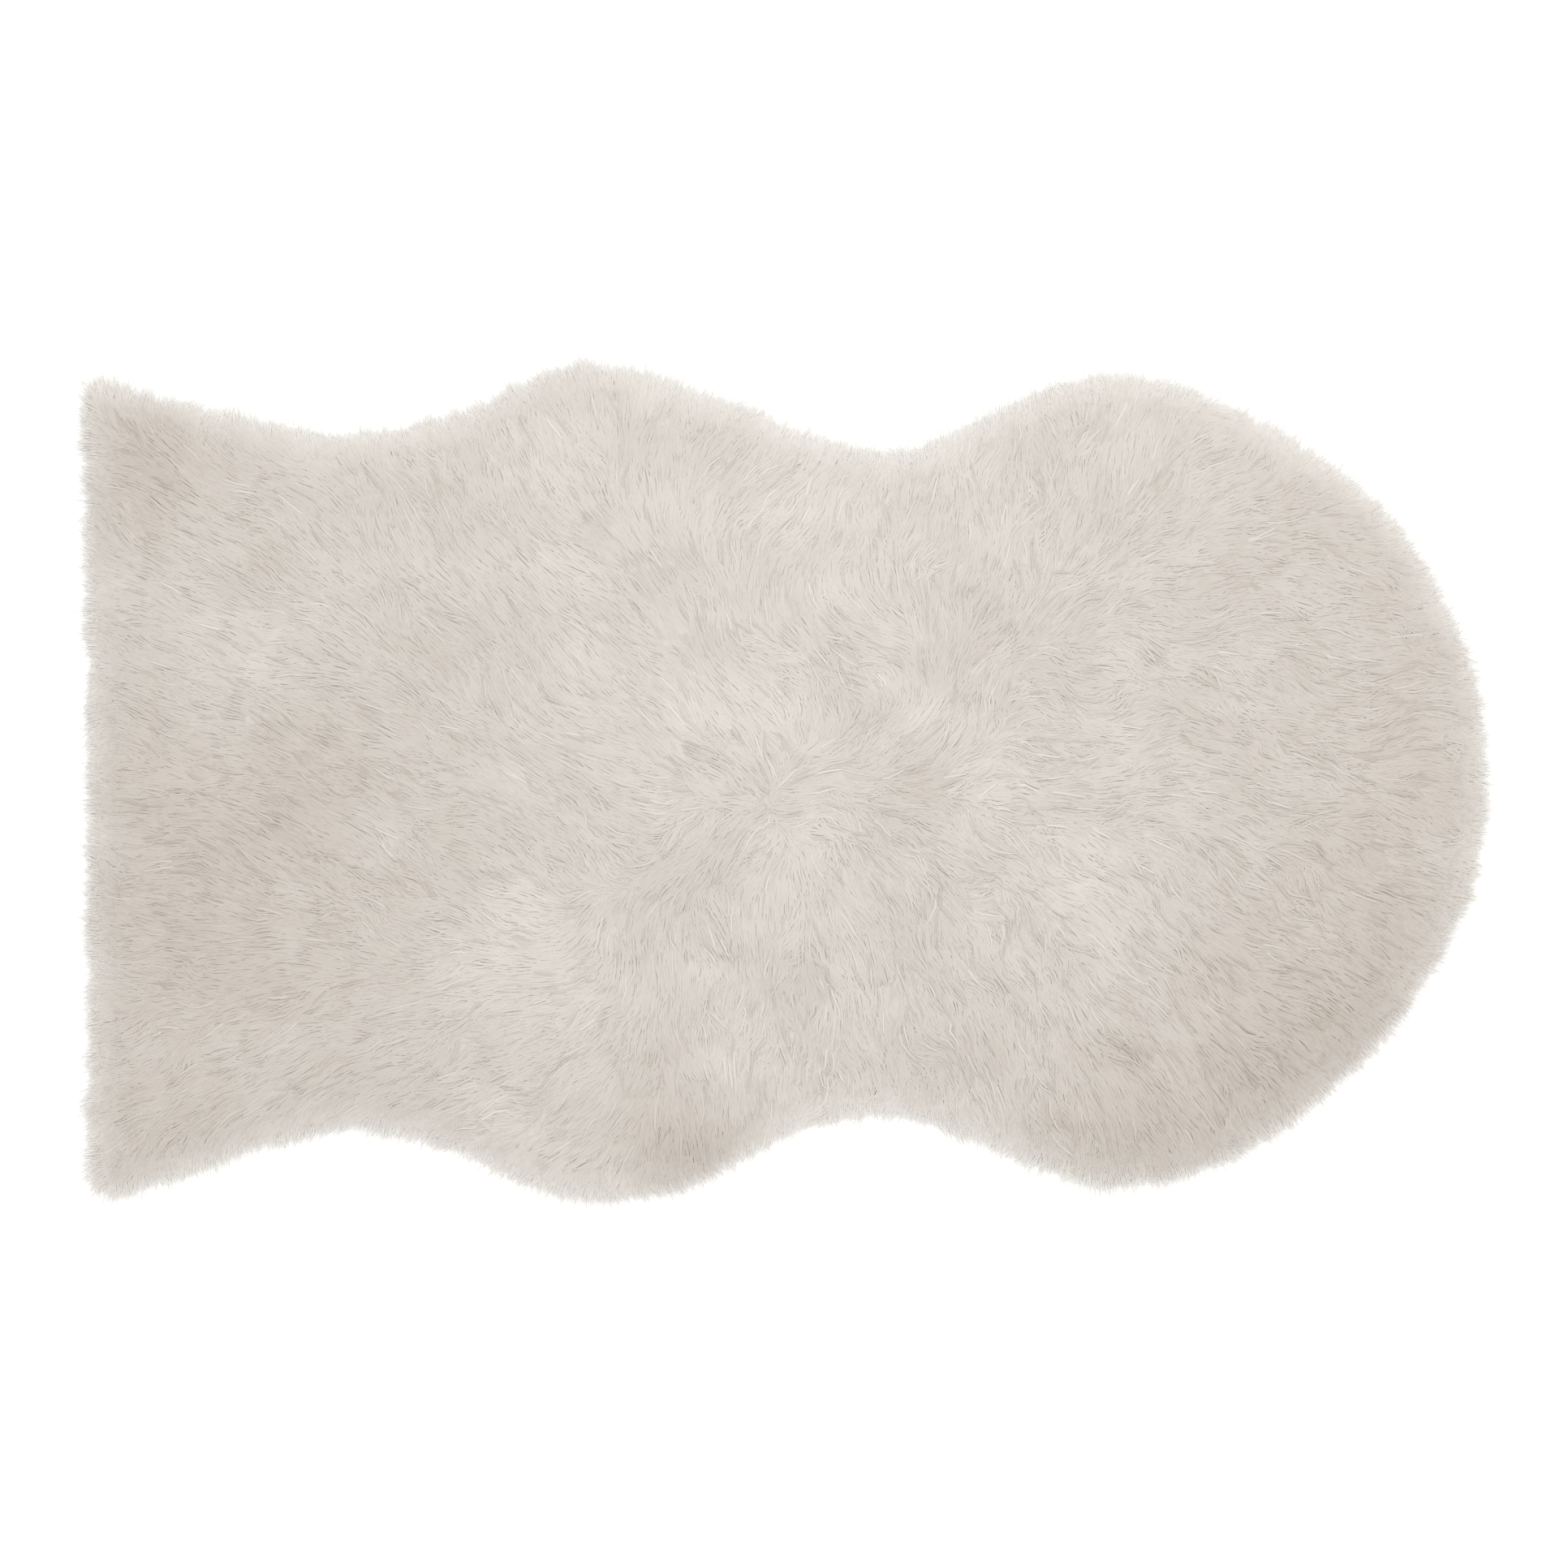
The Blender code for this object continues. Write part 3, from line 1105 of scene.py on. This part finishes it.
@dataclass(frozen=True)
class StrandGrowth:
    """Grows the strands of the wisps, from the matted mass up to the crown or over the rim."""

    form: PileForm
    lay: FurLay
    tone: FurTone
    undercoat: Undercoat
    strands_in_wisp: int = 9
    radius: float = 0.66
    cut_edge: float = 9.5 * MM
    cut_edge_blur: float = 9.0 * MM
    loosening: tuple[float, float] = (0.8, 1.1)
    spread: float = 1.2 * MM
    shortest_overhang: float = -5.5 * MM
    cut_short: float = 0.35
    nudges: int = 3
    # Painted shade and highlights: a few strands are toned darker for the shaded gaps between tufts, or
    # lighter for their lit edges, and lifted a little to lie on top
    painted_shade_strands: tuple[float, float] = (0.014, -0.21)
    painted_highlight_strands: tuple[float, float] = (0.012, 0.16)
    painted_stroke_depth: tuple[float, float] = (0.3, 1.0)
    painted_stroke_lift: float = 0.5 * MM
    painted_stroke_rim: float = 9.0 * MM
    sunk: float = 0.7 * MM
    tip_roughness: float = 0.10 * MM
    middle_roughness: float = 0.06 * MM
    floor_gap: float = 0.4 * MM
    floor_scatter: float = 2.0 * MM
    kink: float = 0.15 * MM
    waves: float = 1.3 * MM
    wave_noises: tuple[SmoothNoise, ...] = (
        SmoothNoise(spacing=6.5 * MM, seed=34), SmoothNoise(spacing=6.5 * MM, seed=35),
    )

    def held_back(self, at: np.ndarray, overhang: np.ndarray) -> np.ndarray:
        """Bring places that reach too far over the rim back to it.

        Args:
            at: The places, with X and Y in each row.
            overhang: How far past the rim each may reach.

        Returns:
            The places after that.
        """
        for _ in range(self.nudges):
            excess = np.maximum(-overhang - self.form.inset_at(at), 0.0)
            outward = self.form.outward_at(at)
            at = at - excess[:, None] * towards(outward)
        return at

    def painted_strokes(self, wisp: Wisps, random: np.random.Generator) -> np.ndarray:
        """Pick the few strands that stand out from the rest: darker ones as painted shade for the gaps
        between tufts, lighter ones as painted highlights for the lit edges of tufts.

        Args:
            wisp: The wisp of each strand.
            random: Where the strands are drawn from.

        Returns:
            How much the tone of each strand differs, zero for most.
        """
        drawn = random.uniform(0.0, 1.0, len(wisp.tone))
        depth = random.uniform(*self.painted_stroke_depth, len(wisp.tone))
        (shade_share, shade_change), (highlight_share, highlight_change) = self.painted_shade_strands, self.painted_highlight_strands
        dark = drawn < shade_share * wisp.ruffle * wisp.strokes
        light = drawn > 1.0 - highlight_share * wisp.ruffle
        return depth * (shade_change * dark + highlight_change * light)

    def ends(self, wisp: Wisps, random: np.random.Generator) -> tuple[np.ndarray, np.ndarray, np.ndarray]:
        """Choose where the strands start and end, seen from above.

        Args:
            wisp: The wisp of each strand.
            random: Where the strands' unevenness is drawn from.

        Returns:
            The roots, the tips, and how much the tone of each strand differs by painted shade or highlight.
        """
        count = len(wisp.tone)
        angle = random.uniform(0.0, math.tau, count)
        radius = self.radius * WISP_PITCH * np.sqrt(random.uniform(0.0, 1.0, count))
        off = radius[:, None] * towards(angle)
        root_inset = self.cut_edge + self.cut_edge_blur * random.uniform(0.0, 1.0, count)
        root = self.held_back(wisp.root + off, -root_inset)
        loose = 1.0 - wisp.gathering * random.uniform(*self.loosening, count)
        tip = wisp.tip + loose[:, None] * off + random.normal(0.0, self.spread, (count, 2))
        painted_stroke = self.painted_strokes(wisp, random)
        short = random.uniform(0.0, self.cut_short, count) * (painted_stroke == 0.0)
        tip = tip + short[:, None] * (root - tip)
        reach = random.uniform(0.0, 1.0, count)
        overhang = self.shortest_overhang + (wisp.overhang - self.shortest_overhang) * reach
        return root, self.held_back(tip, overhang), painted_stroke

    def raised(self, root: np.ndarray, bend: np.ndarray, tip: np.ndarray, drop: np.ndarray,
               lift: np.ndarray, random: np.random.Generator) -> list[np.ndarray]:
        """Give the three points that shape each strand their heights.

        Args:
            root: The roots, with X and Y in each row.
            bend: The points that the strands bend towards.
            tip: The tips.
            drop: How far each tip sinks, as a share of the pile's height.
            lift: How far each strand stands out of the pile.
            random: Where the strands' unevenness is drawn from.

        Returns:
            The roots, bends and tips, with X, Y and Z in each row.
        """
        count = len(root)
        root_z = self.undercoat.height_at(root) - self.sunk
        tip_z = self.form.height_at(tip)
        tip_z = tip_z * (1.0 - drop) + random.normal(0.0, self.tip_roughness, count) + lift
        tip_z = np.maximum(tip_z, self.floor_gap + random.uniform(0.0, self.floor_scatter, count))
        middle = 0.25 * root + 0.5 * bend + 0.25 * tip
        middle_z = self.form.height_at(middle)
        middle_z = middle_z + random.normal(0.0, self.middle_roughness, count) + lift
        bend_z = 2.0 * middle_z - 0.5 * (root_z + tip_z)
        return [np.column_stack([flat, z]) for flat, z in ((root, root_z), (bend, bend_z), (tip, tip_z))]

    def grow(self, wisps: Wisps, random: np.random.Generator) -> tuple[np.ndarray, np.ndarray]:
        """Grow the strands of some wisps.

        Args:
            wisps: The wisps.
            random: Where the strands' unevenness is drawn from.

        Returns:
            The strands' points, with one row of points for each strand, and the tone of each point.
        """
        wisp = wisps.part(np.repeat(np.arange(len(wisps.tone)), self.strands_in_wisp))
        root, tip, painted_stroke = self.ends(wisp, random)
        full = np.linalg.norm(wisp.tip - wisp.root, axis=1)
        kept = np.clip(np.linalg.norm(tip - root, axis=1) / full, 0.0, 1.0)
        bend = 0.5 * (root + tip) + kept[:, None] * wisp.bow
        inset = np.maximum(self.form.inset_at(tip), 0.0)
        # The painted shade and highlights fade out towards the rim
        painted_stroke = painted_stroke * np.minimum(inset / self.painted_stroke_rim, 1.0)
        lift = self.painted_stroke_lift * (painted_stroke != 0.0)
        start, middle, end = self.raised(root, bend, tip, wisp.drop, lift, random)
        t = np.array(STRAND_SHARES)[None, :, None]
        points = ((1.0 - t) ** 2 * start[:, None] + 2.0 * t * (1.0 - t) * middle[:, None]
                  + t ** 2 * end[:, None])
        inner = points[:, 1:-1, :2]
        inner += random.normal(0.0, self.kink, inner.shape)
        straight = points.copy()
        wave = self.waves * self.lay.ruffle.at(straight) * self.form.inner_at(straight)
        for axis, noise in enumerate(self.wave_noises):
            points[:, :, axis] += wave * noise.at(straight)
        points[:, 1:, 2] = np.maximum(points[:, 1:, 2], self.floor_gap)
        change = (wisp.tone + painted_stroke)[:, None]
        return points, self.tone.with_painted_rim_light(change, points)


@dataclass(frozen=True)
class Ribbons:
    """Turns strands into ribbons that taper to a point, three quads and a triangle for each."""

    form: PileForm
    width: float = 1.3 * MM
    rim_width: float = 0.5 * MM
    thickest: tuple[float, float] = (0.7, 1.3)
    taper: tuple[float, ...] = (0.8, 1.0, 0.95, 0.75)
    roll: float = 0.08
    combed: float = 0.8
    map_border: float = 0.02
    map_half_width: float = 0.006

    def facing(self, points: np.ndarray, random: np.random.Generator) -> tuple[np.ndarray, np.ndarray]:
        """Turn the ribbons about their strands.

        Args:
            points: The strands' points, root first.
            random: Where the ribbons' roll is drawn from.

        Returns:
            The directions across each ribbon and out of its face, at all its points but the last.
        """
        count, steps = len(points), len(self.taper)
        along = np.empty((count, steps, 3))
        along[:, 0] = points[:, 1] - points[:, 0]
        along[:, 1:] = points[:, 2:] - points[:, :-2]
        along /= np.linalg.norm(along, axis=2, keepdims=True)
        side = np.cross((0.0, 0.0, 1.0), along)
        side /= np.linalg.norm(side, axis=2, keepdims=True) + 1e-9
        roll = random.normal(0.0, self.roll, (count, 1, 1))
        side = np.cos(roll) * side + np.sin(roll) * np.cross(along, side)
        out = (1.0 - self.combed) * np.cross(along, side)
        out += self.combed * self.form.normal_at(points[:, :steps])
        return side, out

    def corners(self, points: np.ndarray, side: np.ndarray, random: np.random.Generator) -> np.ndarray:
        """Widen the strands into ribbons.

        Args:
            points: The strands' points, root first.
            side: The direction across each ribbon at its points.
            random: Where the ribbons' widths are drawn from.

        Returns:
            The corners of each ribbon in pairs from its root, and its tip last.
        """
        count, steps = len(points), len(self.taper)
        inner = self.form.inner_at(points[:, -1])
        width = self.rim_width + (self.width - self.rim_width) * inner
        width = width[:, None, None] * random.uniform(*self.thickest, (count, 1, 1))
        half = 0.5 * width * np.array(self.taper)[None, :, None] * side
        corners = np.empty((count, 2 * steps + 1, 3))
        corners[:, 0:2 * steps:2] = points[:, :steps] - half
        corners[:, 1:2 * steps:2] = points[:, :steps] + half
        corners[:, -1] = points[:, -1]
        return corners

    def mesh(self, name: str, corners: np.ndarray) -> tuple[bpy.types.Mesh, np.ndarray]:
        """Join the corners of each ribbon into three quads and a triangle.

        Args:
            name: The mesh's name.
            corners: The corners of each ribbon in pairs from its root, and its tip last.

        Returns:
            The mesh, and the rows of one ribbon's corners in the order of its faces.
        """
        count, each, steps = len(corners), corners.shape[1], len(self.taper)
        pattern = []
        for i in range(steps - 1):
            pattern += [2 * i, 2 * i + 2, 2 * i + 3, 2 * i + 1]
        pattern = np.array(pattern + [2 * steps - 2, 2 * steps, 2 * steps - 1])
        loops = (np.arange(count)[:, None] * each + pattern).ravel()
        starts = (np.arange(count)[:, None] * len(pattern) + 4 * np.arange(steps)).ravel()
        mesh = bpy.data.meshes.new(name)
        mesh.vertices.add(count * each)
        mesh.vertices.foreach_set("co", corners.ravel().astype(np.float32))
        mesh.loops.add(len(loops))
        mesh.loops.foreach_set("vertex_index", loops.astype(np.int32))
        mesh.polygons.add(len(starts))
        mesh.polygons.foreach_set("loop_start", starts.astype(np.int32))
        mesh.polygons.foreach_set("use_smooth", np.ones(len(starts), dtype=bool))
        return mesh, pattern

    def mapped(self, pattern: np.ndarray, tones: np.ndarray) -> np.ndarray:
        """Place the ribbons on their map, by tone across it and from root to tip up it.

        Args:
            pattern: The rows of one ribbon's corners in the order of its faces.
            tones: The tone of each of the strands' points.

        Returns:
            The map's U and V for each corner of each ribbon's faces.
        """
        across = np.where(pattern % 2 == 0, -1.0, 1.0)
        across[pattern == 2 * len(self.taper)] = 0.0
        at = pattern // 2
        up = self.map_border + (1.0 - 2.0 * self.map_border) * np.array(STRAND_SHARES)[at]
        map_u = tones[:, at] + self.map_half_width * across[None, :]
        return np.stack([map_u, np.broadcast_to(up, map_u.shape)], 2)

    def build(self, name: str, points: np.ndarray, tones: np.ndarray,
              random: np.random.Generator, material: bpy.types.Material) -> bpy.types.Object:
        """Make one piece of ribbons along the strands.

        Args:
            name: The piece's name.
            points: The strands' points, root first.
            tones: The tone of each point.
            random: Where the ribbons' roll and width are drawn from.
            material: The finish.

        Returns:
            The new object.
        """
        side, out = self.facing(points, random)
        mesh, pattern = self.mesh(name, self.corners(points, side, random))
        uv = self.mapped(pattern, tones)
        mesh.uv_layers.new(name=STRAND_MAP).uv.foreach_set("vector", uv.ravel().astype(np.float32))
        mesh.materials.append(material)
        mesh.update(calc_edges=True)
        normals = np.concatenate([np.repeat(out, 2, axis=1), out[:, -1:]], axis=1)
        normals /= np.linalg.norm(normals, axis=2, keepdims=True)
        own = mesh.attributes.new("custom_normal", "FLOAT_VECTOR", "POINT")
        own.data.foreach_set("vector", normals.ravel().astype(np.float32))
        piece = bpy.data.objects.new(name, mesh)
        bpy.context.collection.objects.link(piece)
        return piece


@dataclass(frozen=True)
class Pile:
    """The long pile, as tapering strands that gather into wisps along the lay of the fur."""

    wisps: WispGrowth
    strands: StrandGrowth
    ribbons: Ribbons
    pieces: int = 5
    seed: int = 31
    finish: PileFinish = PileFinish()

    def build(self) -> list[bpy.types.Object]:
        """Build the pile in a few pieces, from the tail to the head.

        Returns:
            The pieces.
        """
        random = np.random.default_rng(self.seed)
        wisps = self.wisps.grow(random)
        material = self.finish.material()
        made = []
        for n, part in enumerate(np.array_split(np.arange(len(wisps.tone)), self.pieces), start=1):
            points, tones = self.strands.grow(wisps.part(part), random)
            name = f"{Layer.PILE.value}_{n}"
            made.append(self.ribbons.build(name, points, tones, random, material))
            logger.info("%s: %d strands in %d wisps", name, len(points), len(part))
        return made


@dataclass(frozen=True)
class Studio:
    """The pale floor, the soft light and the camera straight above the rug."""

    frame_width: float = 1.1097
    lens: float = 100.0
    sensor: float = 36.0
    rim_height: float = 8.0 * MM
    farthest: float = 100.0
    aim: tuple[float, float] = (-1.1 * MM, -0.6 * MM)
    floor_size: float = 40.0
    floor_colour: Colour = (0.93, 0.93, 0.93, 1.0)
    floor_roughness: float = 0.9
    floor_glow: float = 0.35
    sky_colour: Colour = (1.0, 1.0, 1.0, 1.0)
    sky_strength: float = 1.045
    lamp_place: tuple[float, float, float] = (0.6, 1.7, 3.4)
    lamp_size: float = 2.6
    lamp_power: float = 53.0

    def build_floor(self) -> None:
        """Lay a plain matt floor under the rug, at height zero."""
        material, nodes = new_material("pale floor", self.floor_roughness, 0.0)
        nodes.fill(nodes.surface(), {
            "Base Color": self.floor_colour, "Specular IOR Level": 0.0,
            "Emission Color": self.floor_colour, "Emission Strength": self.floor_glow,
        })
        half = self.floor_size / 2.0
        corners = [(-half, -half, 0.0), (half, -half, 0.0), (half, half, 0.0), (-half, half, 0.0)]
        floor = new_piece("floor", np.array(corners), [[0, 1, 2, 3]], material, False)

    def build_light(self) -> None:
        """Light the rug evenly from all round, and a little more from one side."""
        world = bpy.data.worlds.new("studio")
        world.use_nodes = True
        background = world.node_tree.nodes["Background"]
        background.inputs["Color"].default_value = self.sky_colour
        background.inputs["Strength"].default_value = self.sky_strength
        bpy.context.scene.world = world
        data = bpy.data.lights.new("softbox", "AREA")
        data.shape = "SQUARE"
        data.size = self.lamp_size
        data.energy = self.lamp_power
        lamp = bpy.data.objects.new("softbox", data)
        lamp.location = self.lamp_place
        lamp.rotation_mode = "QUATERNION"
        lamp.rotation_quaternion = (-Vector(self.lamp_place)).to_track_quat("-Z", "Y")
        bpy.context.collection.objects.link(lamp)

    def build_camera(self) -> None:
        """Hang the camera over the middle of the rug, looking straight down."""
        data = bpy.data.cameras.new("camera")
        data.lens = self.lens
        data.sensor_width = self.sensor
        data.clip_end = self.farthest
        camera = bpy.data.objects.new("camera", data)
        distance = self.frame_width * self.lens / self.sensor
        camera.location = (*self.aim, self.rim_height + distance)
        bpy.context.collection.objects.link(camera)
        bpy.context.scene.camera = camera

    def build(self) -> None:
        """Set up the whole studio, with colours shown as they are."""
        self.build_floor()
        self.build_light()
        self.build_camera()
        bpy.context.scene.view_settings.view_transform = "Standard"


def main() -> None:
    """Build the rug's layers in order around its solid, and report each piece."""
    logging.basicConfig(level=logging.INFO, format="%(message)s")
    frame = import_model()
    form = PileForm(solid=frame["nodes"]["rug"])
    Studio().build()
    cloth = GroundCloth(form).build()
    lay, tone = FurLay(form), FurTone(form)
    undercoat = Undercoat(form, tone)
    mass = undercoat.build()
    pile = Pile(WispGrowth(form, lay, tone), StrandGrowth(form, lay, tone, undercoat), Ribbons(form)).build()
    for piece in (cloth, mass, *pile):
        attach(piece, "root")
        logger.info("%s: %d faces", piece.name, len(piece.data.polygons))
    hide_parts("rug")


if __name__ == "__main__":
    main()
